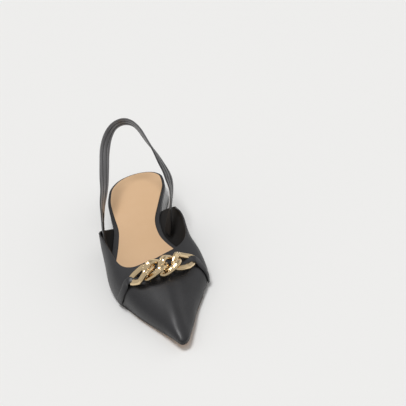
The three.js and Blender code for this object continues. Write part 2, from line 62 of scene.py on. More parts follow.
# Keeps a division by a length of zero away.
TINY = 1e-9
# A bell is cut off at this many of its widths.
BELL_END = 3.0
LOG = logging.getLogger("slingback")

# A place, a move or a direction: x, y and z.
Point = tuple[float, float, float]
# A seam on a surface: its points, and the surface's normals there.
Seam = tuple[list[Vector], list[Vector]]


class Slot(Enum):
    """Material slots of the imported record."""

    LEATHER = "black_leather"
    LINING = "tan_lining"
    SOLE = "tan_sole"
    METAL = "gold_metal"


def linear(hex_colour: str) -> tuple[float, float, float, float]:
    """Turns an sRGB hex colour into linear light.

    Args:
        hex_colour: six hex digits, with or without a leading hash.

    Returns:
        Linear red, green, blue and an alpha of 1.
    """
    digits = hex_colour.lstrip("#")
    channels = [int(digits[i : i + 2], 16) / 255 for i in (0, 2, 4)]
    light = [c / 12.92 if c <= 0.04045 else ((c + 0.055) / 1.055) ** 2.4 for c in channels]
    return (*light, 1.0)


def add_node(tree: NodeTree, kind: str, inputs: dict | None = None, **settings: object) -> Node:
    """Adds one shader node.

    Args:
        tree: the node tree.
        kind: the node's type name.
        inputs: values or output sockets for its inputs, by name or number.
        settings: the node's own properties.

    Returns:
        The new node.
    """
    made = tree.nodes.new(kind)
    for name, value in settings.items():
        setattr(made, name, value)
    for key, value in (inputs or {}).items():
        if isinstance(value, NodeSocket):
            tree.links.new(value, made.inputs[key])
        else:
            made.inputs[key].default_value = value
    return made


def smoothstep(low: float, high: float, value: float) -> float:
    """Returns 0 below low, 1 above high and a smooth turn between them."""
    t = min(1.0, max(0.0, (value - low) / (high - low)))
    return t * t * (3 - 2 * t)


@dataclass(frozen=True)
class Finish:
    """A plain surface of one colour, which the finishes below refine."""

    name: str
    colour: str
    roughness: float = 0.5
    metallic: float = 0.0
    ior: float = 1.5

    def surface(self) -> tuple[Material, Node]:
        """Makes the material with its plain values.

        Returns:
            The material and its principled node.
        """
        material = bpy.data.materials.new(self.name)
        material.use_nodes = True
        shader = material.node_tree.nodes["Principled BSDF"]
        shader.inputs["Base Color"].default_value = linear(self.colour)
        shader.inputs["Roughness"].default_value = self.roughness
        shader.inputs["Metallic"].default_value = self.metallic
        shader.inputs["IOR"].default_value = self.ior
        material.diffuse_color = linear(self.colour)
        return material, shader

    def build(self) -> Material:
        """Returns the finished material."""
        return self.surface()[0]


@dataclass(frozen=True)
class GrainedLeather(Finish):
    """Embossed imitation leather: a fine grain under a satin top coat, with a painted highlight on its
    crowns.
    """

    # Colour of the painted highlight on the grain's crowns, which the random mottle also reaches.
    crown_highlight_and_mottle: str = "#26262a"
    # Colour of the painted shade in the grooves under seams.
    seam_shade: str = "#0b0b0c"
    grain_mm: float = 0.95
    pores_per_grain: float = 2.6
    grain_depth_mm: float = 0.05
    mottle_mm: float = 14.0
    coat: float = 0.2
    coat_roughness: float = 0.32
    groove_depth_mm: float = 0.25

    def build(self) -> Material:
        """Builds the leather: grain cells with a painted highlight on their crowns, fine pores, soft
        mottling, and a groove under its seams with painted shade in it.

        Returns:
            The material.
        """
        material, shader = self.surface()
        tree = material.node_tree
        place = add_node(tree, "ShaderNodeTexCoord").outputs["Object"]
        cells = add_node(
            tree,
            "ShaderNodeTexVoronoi",
            {"Vector": place, "Scale": 1 / (self.grain_mm * MM), "Randomness": 0.85},
            feature="SMOOTH_F1",
        )
        pores = add_node(
            tree,
            "ShaderNodeTexNoise",
            {"Vector": place, "Scale": self.pores_per_grain / (self.grain_mm * MM), "Detail": 2.0},
        )
        mottle = add_node(
            tree,
            "ShaderNodeTexNoise",
            {"Vector": place, "Scale": 1 / (self.mottle_mm * MM), "Detail": 3.0},
        )
        blend = add_node(
            tree,
            "ShaderNodeMapRange",
            {"Value": mottle.outputs["Fac"], "From Min": 0.3, "From Max": 0.7, "To Min": 0.1, "To Max": 0.4},
        )
        # Painted highlight: each grain cell is coloured lighter towards its crown.
        grain_light = add_node(
            tree,
            "ShaderNodeMapRange",
            {
                "Value": cells.outputs["Distance"],
                "From Min": 0.0,
                "From Max": 0.75,
                "To Min": 0.45,
                "To Max": 0.0,
            },
        )
        share = add_node(
            tree,
            "ShaderNodeMath",
            {0: blend.outputs["Result"], 1: grain_light.outputs["Result"]},
            operation="ADD",
            use_clamp=True,
        )
        tint = add_node(
            tree,
            "ShaderNodeMix",
            {"Factor": share.outputs[0], "A": linear(self.colour), "B": linear(self.crown_highlight_and_mottle)},
            data_type="RGBA",
        )
        # Painted shade: the seam press darkens the colour in the groove as well as denting it.
        seam_shade = add_node(tree, "ShaderNodeAttribute", attribute_name=SeamField.NAME)
        pressed = add_node(
            tree,
            "ShaderNodeMapRange",
            {"Value": seam_shade.outputs["Fac"], "From Min": 0.0, "From Max": 0.8, "To Min": 0.0, "To Max": 1.0},
            interpolation_type="SMOOTHSTEP",
        )
        shade = add_node(
            tree,
            "ShaderNodeMix",
            {"Factor": pressed.outputs["Result"], "A": tint.outputs["Result"], "B": linear(self.seam_shade)},
            data_type="RGBA",
        )
        tree.links.new(shade.outputs["Result"], shader.inputs["Base Color"])
        gloss = add_node(
            tree,
            "ShaderNodeMapRange",
            {
                "Value": pores.outputs["Fac"],
                "From Min": 0.3,
                "From Max": 0.7,
                "To Min": self.roughness - 0.06,
                "To Max": self.roughness + 0.08,
            },
        )
        tree.links.new(gloss.outputs["Result"], shader.inputs["Roughness"])
        grain = add_node(
            tree,
            "ShaderNodeBump",
            {"Height": cells.outputs["Distance"], "Strength": 1.0, "Distance": self.grain_depth_mm * MM},
            invert=True,
        )
        fine = add_node(
            tree,
            "ShaderNodeBump",
            {
                "Height": pores.outputs["Fac"],
                "Strength": 0.8,
                "Distance": self.grain_depth_mm * MM * 0.5,
                "Normal": grain.outputs["Normal"],
            },
        )
        groove = add_node(
            tree,
            "ShaderNodeBump",
            {
                "Height": pressed.outputs["Result"],
                "Strength": 1.0,
                "Distance": self.groove_depth_mm * MM,
                "Normal": fine.outputs["Normal"],
            },
            invert=True,
        )
        tree.links.new(groove.outputs["Normal"], shader.inputs["Normal"])
        shader.inputs["Coat Weight"].default_value = self.coat
        shader.inputs["Coat Roughness"].default_value = self.coat_roughness
        return material


@dataclass(frozen=True)
class SmoothLining(Finish):
    """Smooth coated lining: an even matt tan with faint clouds and a grain that only shows close to."""

    cloud: str = "#d9b287"
    cloud_mm: float = 26.0
    grain_mm: float = 0.8
    grain_depth_mm: float = 0.025

    def build(self) -> Material:
        """Builds the lining.

        Returns:
            The material.
        """
        material, shader = self.surface()
        tree = material.node_tree
        place = add_node(tree, "ShaderNodeTexCoord").outputs["Object"]
        clouds = add_node(
            tree, "ShaderNodeTexNoise", {"Vector": place, "Scale": 1 / (self.cloud_mm * MM), "Detail": 2.0}
        )
        tint = add_node(
            tree,
            "ShaderNodeMix",
            {"Factor": clouds.outputs["Fac"], "A": linear(self.colour), "B": linear(self.cloud)},
            data_type="RGBA",
        )
        tree.links.new(tint.outputs["Result"], shader.inputs["Base Color"])
        pores = add_node(
            tree, "ShaderNodeTexNoise", {"Vector": place, "Scale": 1 / (self.grain_mm * MM), "Detail": 3.0}
        )
        bump = add_node(
            tree,
            "ShaderNodeBump",
            {"Height": pores.outputs["Fac"], "Strength": 1.0, "Distance": self.grain_depth_mm * MM},
        )
        tree.links.new(bump.outputs["Normal"], shader.inputs["Normal"])
        return material


@dataclass(frozen=True)
class MouldedSole(Finish):
    """Moulded rubber: matt tan with the fine cross lines that the mould leaves on its tread."""

    line_mm: float = 1.6
    line_depth_mm: float = 0.25
    speck_mm: float = 1.2
    # Length of one wave of the wave texture at a scale of 1.
    unit_wave: float = 0.314

    def build(self) -> Material:
        """Builds the sole's rubber.

        Returns:
            The material.
        """
        material, shader = self.surface()
        tree = material.node_tree
        place = add_node(tree, "ShaderNodeTexCoord").outputs["Object"]
        lines = add_node(
            tree,
            "ShaderNodeTexWave",
            {"Vector": place, "Scale": self.unit_wave / (self.line_mm * MM), "Distortion": 0.0},
            bands_direction="DIAGONAL",
        )
        speck = add_node(
            tree, "ShaderNodeTexNoise", {"Vector": place, "Scale": 1 / (self.speck_mm * MM), "Detail": 2.0}
        )
        height = add_node(
            tree, "ShaderNodeMath", {0: lines.outputs["Fac"], 1: speck.outputs["Fac"]}, operation="ADD"
        )
        bump = add_node(
            tree,
            "ShaderNodeBump",
            {"Height": height.outputs[0], "Strength": 0.6, "Distance": self.line_depth_mm * MM},
        )
        tree.links.new(bump.outputs["Normal"], shader.inputs["Normal"])
        return material


@dataclass(frozen=True)
class PlatedMetal(Finish):
    """Polished light gold plating over cast zinc alloy: mirror bright, faintly wavy from tumbling."""

    wave_mm: float = 3.0
    wave_depth_mm: float = 0.09

    def build(self) -> Material:
        """Builds the plating.

        Returns:
            The material.
        """
        material, shader = self.surface()
        tree = material.node_tree
        place = add_node(tree, "ShaderNodeTexCoord").outputs["Object"]
        waves = add_node(
            tree, "ShaderNodeTexNoise", {"Vector": place, "Scale": 1 / (self.wave_mm * MM), "Detail": 1.0}
        )
        bump = add_node(
            tree,
            "ShaderNodeBump",
            {"Height": waves.outputs["Fac"], "Strength": 1.0, "Distance": self.wave_depth_mm * MM},
        )
        tree.links.new(bump.outputs["Normal"], shader.inputs["Normal"])
        smudge = add_node(
            tree,
            "ShaderNodeMapRange",
            {
                "Value": waves.outputs["Fac"],
                "From Min": 0.35,
                "From Max": 0.65,
                "To Min": self.roughness - 0.03,
                "To Max": self.roughness + 0.05,
            },
        )
        tree.links.new(smudge.outputs["Result"], shader.inputs["Roughness"])
        return material


class Wardrobe:
    """Every finish of the shoe, made once."""

    def __init__(self) -> None:
        """Builds the finishes."""
        # Embossed imitation leather: near black, with a satin crown on each grain and a painted highlight on
        # it.
        self.leather = GrainedLeather(
            "embossed_imitation_leather", "#161618", roughness=0.58, ior=1.42, coat=0.3, coat_roughness=0.25
        ).build()
        # Glazed imitation leather of the heel strap: finer grain and more gloss, so bends catch the light.
        self.strap_leather = GrainedLeather(
            "glazed_imitation_leather", "#1c1c1e", roughness=0.36, grain_mm=0.6, coat=0.4, coat_roughness=0.25
        ).build()
        # Polished imitation leather over the wedge: hardly any grain, so its wall mirrors the floor.
        self.wedge_cover = GrainedLeather(
            "polished_imitation_leather",
            "#1f1f21",
            roughness=0.34,
            grain_depth_mm=0.004,
            coat=0.8,
            coat_roughness=0.14,
        ).build()
        # Satin-faced lining of the heel strap: charcoal, smooth, lighter than the leather at a slant, with a
        # painted highlight on its grain crowns.
        self.strap_lining = GrainedLeather(
            "satin_strap_lining", "#545355", crown_highlight_and_mottle="#6a696c", roughness=0.38, grain_mm=0.5, coat=0.5
        ).build()
        # Microfibre lining of the upper: soot black and matt.
        self.lining = Finish("microfibre_lining", "#191716", roughness=0.85, ior=1.4).build()
        # Coated sock lining: smooth, tan and matt.
        self.sock = SmoothLining("coated_sock_lining", "#dfba93", roughness=0.55).build()
        # Thermoplastic rubber, moulded: tan and matt.
        self.rubber = MouldedSole("moulded_rubber", "#c79c6e", roughness=0.7).build()
        # Edge paint on the outsole's cut edges, and painted shade on the heel strap's cut edges: black,
        # smooth and a little glossy.
        self.edge_paint_and_shade = Finish("edge_paint_and_shade", "#111112", roughness=0.42).build()
        # Polished plating: light gold.
        self.plating = PlatedMetal("polished_plating", "#e6cda4", roughness=0.1, metallic=1.0).build()
        # Bonded nylon thread: black with a slight sheen.
        self.thread = Finish("bonded_nylon_thread", "#19191b", roughness=0.38).build()


class SeamField:
    """How far a surface is pressed in by the seams near it, kept as a point attribute."""

    NAME = "seam_press"

    def __init__(self) -> None:
        """Starts with no seam."""
        self.seams: list[tuple[KDTree, float]] = []

    def add(self, line: list[Vector], reach_mm: float) -> None:
        """Adds one seam.

        Args:
            line: its points.
            reach_mm: distance from it at which its press ends.
        """
        step = reach_mm * MM / 3
        points = [line[-1]]
        for a, b in zip(line, line[1:]):
            count = max(1, math.ceil((b - a).length / step))
            points += [a.lerp(b, k / count) for k in range(count)]
        tree = KDTree(len(points))
        for i, point in enumerate(points):
            tree.insert(point, i)
        tree.balance()
        self.seams.append((tree, reach_mm * MM))

    def press(self, at: Vector) -> float:
        """Returns 1 on a seam, 0 beyond its reach."""
        return max(max(0.0, 1 - tree.find(at)[2] / reach) for tree, reach in self.seams)

    def write(self, mesh: Mesh) -> None:
        """Writes the press of each vertex to the mesh."""
        layer = mesh.attributes.new(self.NAME, "FLOAT", "POINT")
        for vertex in mesh.vertices:
            layer.data[vertex.index].value = self.press(vertex.co)


def fade(at: Vector, start: Point, end: Point, width_mm: float) -> float:
    """Returns 1 on a line and less away from it, in a soft bell.

    Args:
        at: the point, in metres.
        start: first end of the line, in millimetres.
        end: its other end.
        width_mm: distance at which the bell is down to about a third.

    Returns:
        The bell's value at the point.
    """
    a, b = Vector(start) * MM, Vector(end) * MM
    run = b - a
    along = (at - a).dot(run) / max(run.length_squared, TINY)
    distance = (at - a - run * min(1.0, max(0.0, along))).length / (width_mm * MM)
    return math.exp(-distance * distance) if distance < BELL_END else 0.0


@dataclass(frozen=True)
class Crease:
    """A soft trough or ridge along a line, in millimetres."""

    start: Point
    end: Point
    width_mm: float
    rise_mm: float

    def rise(self, at: Vector) -> float:
        """Returns how far the surface rises at a point, in metres, below zero in a trough."""
        return self.rise_mm * MM * fade(at, self.start, self.end, self.width_mm)


@dataclass(frozen=True)
class Swell:
    """A soft push of the shoe's form along a line, in millimetres."""

    start: Point
    end: Point
    width_mm: float
    shift_mm: Point

    def shift(self, at: Vector) -> Vector:
        """Returns the push at a point, in metres."""
        return Vector(self.shift_mm) * MM * fade(at, self.start, self.end, self.width_mm)


@dataclass(frozen=True)
class Twist:
    """A soft turn of a strap about its own run, round a place along it."""

    place: Point
    width_mm: float
    turn_deg: float

    def turn(self, at: Vector) -> float:
        """Returns the turn of the section at a point, in degrees."""
        return self.turn_deg * fade(at, self.place, self.place, self.width_mm)


# Trims of the last's form that upper and sole share: along the outer and the inner side of the toe.
TOE_TRIM = (
    Swell((-24.0, -174.0, 3.0), (3.0, -223.0, 3.0), 9.5, (2.0, 1.15, 0.0)),
    Swell((39.0, -166.0, 4.0), (33.0, -190.0, 4.0), 13.0, (-1.1, 0.0, 0.0)),
)


class Forming:
    """Steps that every piece goes through between its solid and its finished mesh."""

    WELD = 2e-6

    @staticmethod
    def welded(node: Object) -> BMesh:
        """Copies a solid, merges its loose corners and pairs its triangles into quads.

        Args:
            node: the CAD node.

        Returns:
            The welded copy.
        """
        bm = bmesh.new()
        bm.from_mesh(node.data)
        bmesh.ops.remove_doubles(bm, verts=bm.verts, dist=Forming.WELD)
        bmesh.ops.join_triangles(
            bm,
            faces=bm.faces,
            angle_face_threshold=math.pi,
            angle_shape_threshold=math.pi,
            topology_influence=2.0,
        )
        bm.normal_update()
        return bm

    @staticmethod
    def patches(bm: BMesh, angle_deg: float = 35.0) -> list[list[BMFace]]:
        """Splits a surface where it turns sharply.

        Args:
            bm: the surface.
            angle_deg: the sharpest turn inside a patch.

        Returns:
            The patches, largest area first.
        """
        limit = math.radians(angle_deg)
        left = set(bm.faces)
        found = []
        for first in bm.faces:
            if first not in left:
                continue
            left.discard(first)
            patch = [first]
            for face in patch:
                for edge in face.edges:
                    if edge.is_manifold and edge.calc_face_angle(0.0) < limit:
                        near = [f for f in edge.link_faces if f in left]
                        left.difference_update(near)
                        patch += near
            found.append(patch)
        return sorted(found, key=lambda patch: -sum(f.calc_area() for f in patch))

    @staticmethod
    def mean_normal(patch: list[BMFace]) -> Vector:
        """Returns the mean direction of a patch."""
        return sum((f.normal * f.calc_area() for f in patch), Vector()).normalized()

    @staticmethod
    def sharp_edges(bm: BMesh, angle_deg: float = 35.0) -> list[BMEdge]:
        """Returns the edges where the faces turn by more than an angle."""
        limit = math.radians(angle_deg)
        return [e for e in bm.edges if e.is_manifold and e.calc_face_angle(0.0) > limit]

    @staticmethod
    def round_off(bm: BMesh, edges: list[BMEdge], width: float, segments: int = 2) -> None:
        """Bevels edges to a round of the given width."""
        bmesh.ops.bevel(
            bm,
            geom=edges,
            offset=width,
            offset_type="OFFSET",
            affect="EDGES",
            segments=segments,
            profile=0.5,
            clamp_overlap=True,
            material=-1,
        )
        bm.normal_update()

    @staticmethod
    def finished(bm: BMesh, name: str, materials: list[Material], levels: int = 2) -> Object:
        """Subdivides a welded piece and links it as an object at the origin.

        Args:
            bm: the piece, freed afterwards.
            name: name of the object.
            materials: its material slots.
            levels: levels of subdivision.

        Returns:
            The object, with every modifier applied.
        """
        rough = bpy.data.meshes.new(name + "_rough")
        bm.to_mesh(rough)
        bm.free()
        for material in materials:
            rough.materials.append(material)
        piece = bpy.data.objects.new(name, rough)
        bpy.context.scene.collection.objects.link(piece)
        if levels:
            smooth = piece.modifiers.new("smooth", "SUBSURF")
            smooth.levels = levels
            smooth.render_levels = levels
        graph = bpy.context.evaluated_depsgraph_get()
        done = bpy.data.meshes.new_from_object(piece.evaluated_get(graph))
        piece.modifiers.clear()
        piece.data = done
        done.name = name
        bpy.data.meshes.remove(rough)
        done.shade_smooth()
        return piece

    @staticmethod
    def dress(piece: Object, slot: Slot, *nodes: str) -> Object:
        """Fixes a piece to the shoe and lets it stand for its solids.

        Args:
            piece: the finished piece.
            slot: the record's slot for its finish; not used.
            nodes: the CAD nodes that it replaces.

        Returns:
            The same piece.
        """
        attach(piece, "root")
        if nodes:
            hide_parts(*nodes)
        LOG.info("%s: %d faces", piece.name, len(piece.data.polygons))
        return piece


class Strip:
    """A run of quads along a strap or a link, with the edges that cross it."""

    def __init__(self, start: BMFace, cross: BMEdge, fold_deg: float = 60.0) -> None:
        """Walks both ways from a quad.

        Args:
            start: a quad of the run.
            cross: one of its edges that crosses the run.
            fold_deg: a fold sharper than this ends the run.
        """
        self.fold = math.radians(fold_deg)
        self.faces = [start]
        self.edges = [cross]
        self._walk(start, self._opposite(start, cross), forwards=True)
        if not self.closed:
            self._walk(start, cross, forwards=False)

    @property
    def closed(self) -> bool:
        """Says whether the run comes back to its start."""
        return len(self.edges) == len(self.faces)

    @staticmethod
    def _opposite(face: BMFace, edge: BMEdge) -> BMEdge:
        """Returns the edge of a quad that shares no corner with another of its edges."""
        return next(e for e in face.edges if not set(e.verts) & set(edge.verts))

    def _walk(self, face: BMFace, edge: BMEdge, forwards: bool) -> None:
        """Follows the run one way, to its end or back to its first edge."""
        while edge is not self.edges[0] or not forwards:
            if forwards:
                self.edges.append(edge)
            following = next((f for f in edge.link_faces if f is not face), None)
            if following is None or len(following.verts) != 4 or edge.calc_face_angle(0.0) > self.fold:
                return
            face = following
            edge = self._opposite(face, edge)
            if forwards:
                self.faces.append(face)
            else:
                self.faces.insert(0, face)
                self.edges.insert(0, edge)

    @classmethod
    def longest(cls, start: BMFace) -> "Strip":
        """Returns the longer of the two runs through a quad."""
        return max((cls(start, edge) for edge in list(start.edges)[:2]), key=lambda run: len(run.faces))

    def rails(self) -> tuple[list[BMVert], list[BMVert]]:
        """Returns the corners along both long sides, in order."""
        left = [self.edges[0].verts[0]]
        right = [self.edges[0].verts[1]]
        for edge in self.edges[1:]:
            a, b = edge.verts
            if not any(e.other_vert(a) is left[-1] for e in a.link_edges):
                a, b = b, a
            left.append(a)
            right.append(b)
        return left, right


class Sections:
    """The sections of a strap or a link, one for each edge that crosses its top run."""

    def __init__(self, bm: BMesh, top: Strip) -> None:
        """Collects the corners of each section.

        Args:
            bm: the piece.
            top: the run of quads along its top.
        """
        inner = top.edges if top.closed else top.edges[1:-1]
        self.rings = [self._ring(edge) for edge in inner]
        self.axes = [self._axes(edge, top) for edge in inner]
        if not top.closed:
            taken = {v for ring in self.rings for v in ring}
            left = [v for v in bm.verts if v not in taken]
            ends = (self.middle(0), self.middle(-1))
            caps: tuple[list, list] = ([], [])
            for vertex in left:
                far = (vertex.co - ends[0]).length > (vertex.co - ends[1]).length
                caps[far].append(vertex)
            self.rings = [caps[0], *self.rings, caps[1]]
            self.axes = [self.axes[0], *self.axes, self.axes[-1]]

    def middle(self, index: int) -> Vector:
        """Returns the middle of a section."""
        ring = self.rings[index]
        return sum((v.co for v in ring), Vector()) / len(ring)

    def scale(self, index: int, wide: float, high: float, shift: Vector) -> None:
        """Scales a section about its middle and moves it.

        Args:
            index: which section.
            wide: scale across.
            high: scale upwards.
            shift: the move.
        """
        middle = self.middle(index)
        across, up = self.axes[index]
        for vertex in self.rings[index]:
            arm = vertex.co - middle
            vertex.co += across * arm.dot(across) * (wide - 1) + up * arm.dot(up) * (high - 1) + shift

    def follow(self, path: list[Vector]) -> None:
        """Moves the sections of a closed run onto a new path and turns each one square to it.

        Args:
            path: the new middles.
        """
        middles = [self.middle(i) for i in range(len(self.rings))]
        for i, ring in enumerate(self.rings):
            ahead = (i + 1) % len(path)
            before = middles[ahead] - middles[i - 1]
            spin = before.rotation_difference(path[ahead] - path[i - 1]).to_matrix()
            for vertex in ring:
                vertex.co = path[i] + spin @ (vertex.co - middles[i])
            self.axes[i] = tuple(spin @ axis for axis in self.axes[i])

    def turn(self, index: int, degrees: float) -> None:
        """Turns a section about the run.

        Args:
            index: which section.
            degrees: the turn.
        """
        middle = self.middle(index)
        across, up = self.axes[index]
        spin = Matrix.Rotation(math.radians(degrees), 3, across.cross(up))
        for vertex in self.rings[index]:
            vertex.co = middle + spin @ (vertex.co - middle)

    @staticmethod
    def _ring(edge: BMEdge) -> list[BMVert]:
        """Returns the corners of the section that holds an edge."""
        ring = list(edge.verts)
        while True:
            faces = set(edge.link_faces)
            edge = next(e for e in ring[-1].link_edges if not faces & set(e.link_faces))
            following = edge.other_vert(ring[-1])
            if following is ring[0]:
                return ring
            ring.append(following)

    @staticmethod
    def _axes(edge: BMEdge, top: Strip) -> tuple[Vector, Vector]:
        """Returns a section's directions across and up."""
        across = (edge.verts[1].co - edge.verts[0].co).normalized()
        normal = sum((f.normal for f in edge.link_faces if f in top.faces), Vector())
        return across, (normal - across * normal.dot(across)).normalized()


@dataclass(frozen=True)
class Channel:
    """Two sewn channels along a folded strap, at shares of its width. They run out towards the quarters."""

    rows: tuple[float, float] = (0.27, 0.73)
    half_width: float = 0.075
    depth_mm: float = 0.35
    from_height_mm: float = 30.0
    full_height_mm: float = 38.0

    def press(self, bm: BMesh, strip: Strip) -> list[Seam]:
        """Presses the channels into one face of the strap.

        Args:
            bm: the strap.
            strip: the run of quads along that face.

        Returns:
            For each channel its line on the surface and the surface's normals.
        """
        left, right = strip.rails()
        beside = [[f.normal for f in edge.link_faces if f in strip.faces] for edge in strip.edges]
        normals = [sum(found, Vector()).normalized() for found in beside]
        spans = [(a.co.copy(), b.co.copy(), n) for a, b, n in zip(left, right, normals)]
        places = []
        for row in self.rows:
            places += [(row - self.half_width, 0.0), (row, self.depth_mm * MM), (row + self.half_width, 0.0)]
        bmesh.ops.subdivide_edges(bm, edges=strip.edges, cuts=len(places), use_grid_fill=True)
        tree = KDTree(len(bm.verts))
        vertices = list(bm.verts)
        for i, vertex in enumerate(vertices):
            tree.insert(vertex.co, i)
        tree.balance()
        for a, b, normal in spans:
            for k, (share, depth) in enumerate(places):
                near = vertices[tree.find(a.lerp(b, (k + 1) / (len(places) + 1)))[1]]
                at = a.lerp(b, share)
                full = smoothstep(self.from_height_mm * MM, self.full_height_mm * MM, at.z)
                near.co = at - normal * depth * full
        return [([a.lerp(b, row) for a, b, _ in spans], [n for _, _, n in spans]) for row in self.rows]


@dataclass
class Stitching:
    """Rows of thread stitches along a line, each stitch a short thread that dips in at both ends."""

    thread: Material
    pitch_mm: float = 2.9
    thick_mm: float = 0.42
    # Half a stitch, as a share of the pitch.
    half_stitch: float = 0.43

    def sew(self, name: str, rows: list[Seam]) -> Object:
        """Makes one object with every stitch of the rows.

        Args:
            name: name of the object.
            rows: for each row its points and the surface's normals there.

        Returns:
            The joined stitches.
        """
        bm = bmesh.new()
        for points, normals in rows:
            self._row(bm, points, normals)
        return Forming.finished(bm, name, [self.thread], levels=0)

    def _row(self, bm: BMesh, points: list[Vector], normals: list[Vector]) -> None:
        """Adds the stitches of one row."""
        ahead = self.pitch_mm * MM / 2
        for i in range(len(points) - 1):
            run = points[i + 1] - points[i]
            length = run.length
            while length > TINY and ahead <= length:
                share = ahead / length
                at = points[i].lerp(points[i + 1], share)
                normal = normals[i].lerp(normals[i + 1], share).normalized()
                self._stitch(bm, at, run.normalized(), normal)
                ahead += self.pitch_mm * MM
            ahead -= length

    def _stitch(self, bm: BMesh, at: Vector, run: Vector, normal: Vector) -> None:
        """Adds one stitch, half sunk into the surface."""
        side = normal.cross(run).normalized()
        above = run.cross(side)
        turn = Matrix((run, side, above)).transposed().to_4x4()
        half_thick = self.thick_mm * MM / 2
        size = Matrix.Diagonal((self.pitch_mm * MM * self.half_stitch, half_thick, half_thick, 1))
        bmesh.ops.create_uvsphere(
            bm, u_segments=6, v_segments=5, radius=1.0, matrix=Matrix.Translation(at) @ turn @ size
        )


@dataclass
class Upper:
    """Vamp and quarters in one hollow shell, with a folded topline and a dark lining."""

    wardrobe: Wardrobe
    node: Object
    fold_mm: float = 0.5
    # The upper corners of both quarters, and the reach of the easing that rounds them.
    corners_mm: tuple[Point, ...] = ((-34.5, -94.0, 31.0), (31.2, -74.0, 31.5))
    corner_radius_mm: float = 8.0
    corner_rounds: int = 8
    # The foot's axis, away from which the creases rise.
    axis_heel_mm: Point = (-2.0, -60.0, 12.0)
    axis_toe_mm: Point = (14.0, -200.0, 8.0)
    # The ridge along the vamp, and a hollow on each side of it.
    creases: tuple[Crease, ...] = (
        Crease((15.0, -178.0, 23.5), (17.0, -210.0, 16.0), 6.5, 1.0),
        Crease((25.5, -172.0, 18.5), (23.0, -214.0, 11.0), 5.0, -1.0),
        Crease((-8.0, -186.0, 19.0), (4.0, -212.0, 13.0), 9.0, -0.8),
    )
    # The bulge at the big toe's joint, the bow of the outer quarter, and the trims of the toe.
    swells: tuple[Swell, ...] = (
        Swell((42.0, -128.0, 18.0), (44.0, -148.0, 13.0), 15.0, (3.4, 0.0, 0.0)),
        Swell((-36.0, -92.0, 20.0), (-36.0, -100.0, 36.0), 22.0, (-2.1, 0.0, 0.0)),
        *TOE_TRIM,
    )
    # Where the vamp strap's lower edge presses on the vamp, down both sides: a groove with painted shadow in
    # it.
    strap_shadow_mm: tuple[tuple[Point, ...], ...] = (
        (
            (-15.0, -171.0, 22.5),
            (-18.5, -171.0, 19.5),
            (-21.5, -171.5, 15.5),
            (-24.0, -170.0, 9.5),
            (-25.3, -167.0, 4.0),
        ),
        ((36.5, -152.0, 18.5), (40.0, -152.6, 14.6), (42.4, -154.1, 10.5), (44.2, -155.6, 4.5)),
    )
    strap_shadow_reach_mm: float = 3.0

    def build(self) -> Object:
        """Builds the shell.

        Returns:
            The shell.
        """
        bm = Forming.welded(self.node)
        outer, inner = Forming.patches(bm)[:2]
        if sum(f.calc_area() for f in outer) < sum(f.calc_area() for f in inner):
            outer, inner = inner, outer
        for face in inner:
            face.material_index = 1
        sharp = Forming.sharp_edges(bm)
        for corner in self.corners_mm:
            near = [v for v in bm.verts if (v.co - Vector(corner) * MM).length < self.corner_radius_mm * MM]
            for _ in range(self.corner_rounds):
                bmesh.ops.smooth_vert(
                    bm, verts=near, factor=0.5, use_axis_x=False, use_axis_y=True, use_axis_z=True
                )
        for vertex in bm.verts:
            vertex.co = self._formed(vertex.co)
        Forming.round_off(bm, sharp, self.fold_mm * MM)
        shell = Forming.finished(bm, "upper_leather", [self.wardrobe.leather, self.wardrobe.lining])
        seams = SeamField()
        for shadow in self.strap_shadow_mm:
            seams.add([self._swelled(Vector(p) * MM) for p in shadow], self.strap_shadow_reach_mm)
        seams.write(shell.data)
        return Forming.dress(shell, Slot.LEATHER, "upper")

    def _swelled(self, at: Vector) -> Vector:
        """Returns a point after the swells."""
        return at + sum((swell.shift(at) for swell in self.swells), Vector())

    def _outwards(self, at: Vector) -> Vector:
        """Returns the direction away from the foot's axis."""
        heel, toe = Vector(self.axis_heel_mm) * MM, Vector(self.axis_toe_mm) * MM
        along = (at.y - heel.y) / (toe.y - heel.y)
        return (at - heel.lerp(toe, min(1.0, max(0.0, along)))).normalized()

    def _formed(self, at: Vector) -> Vector:
        """Returns a point after the swells and creases are set."""
        rise = self._outwards(at) * sum(crease.rise(at) for crease in self.creases)
        return self._swelled(at) + rise


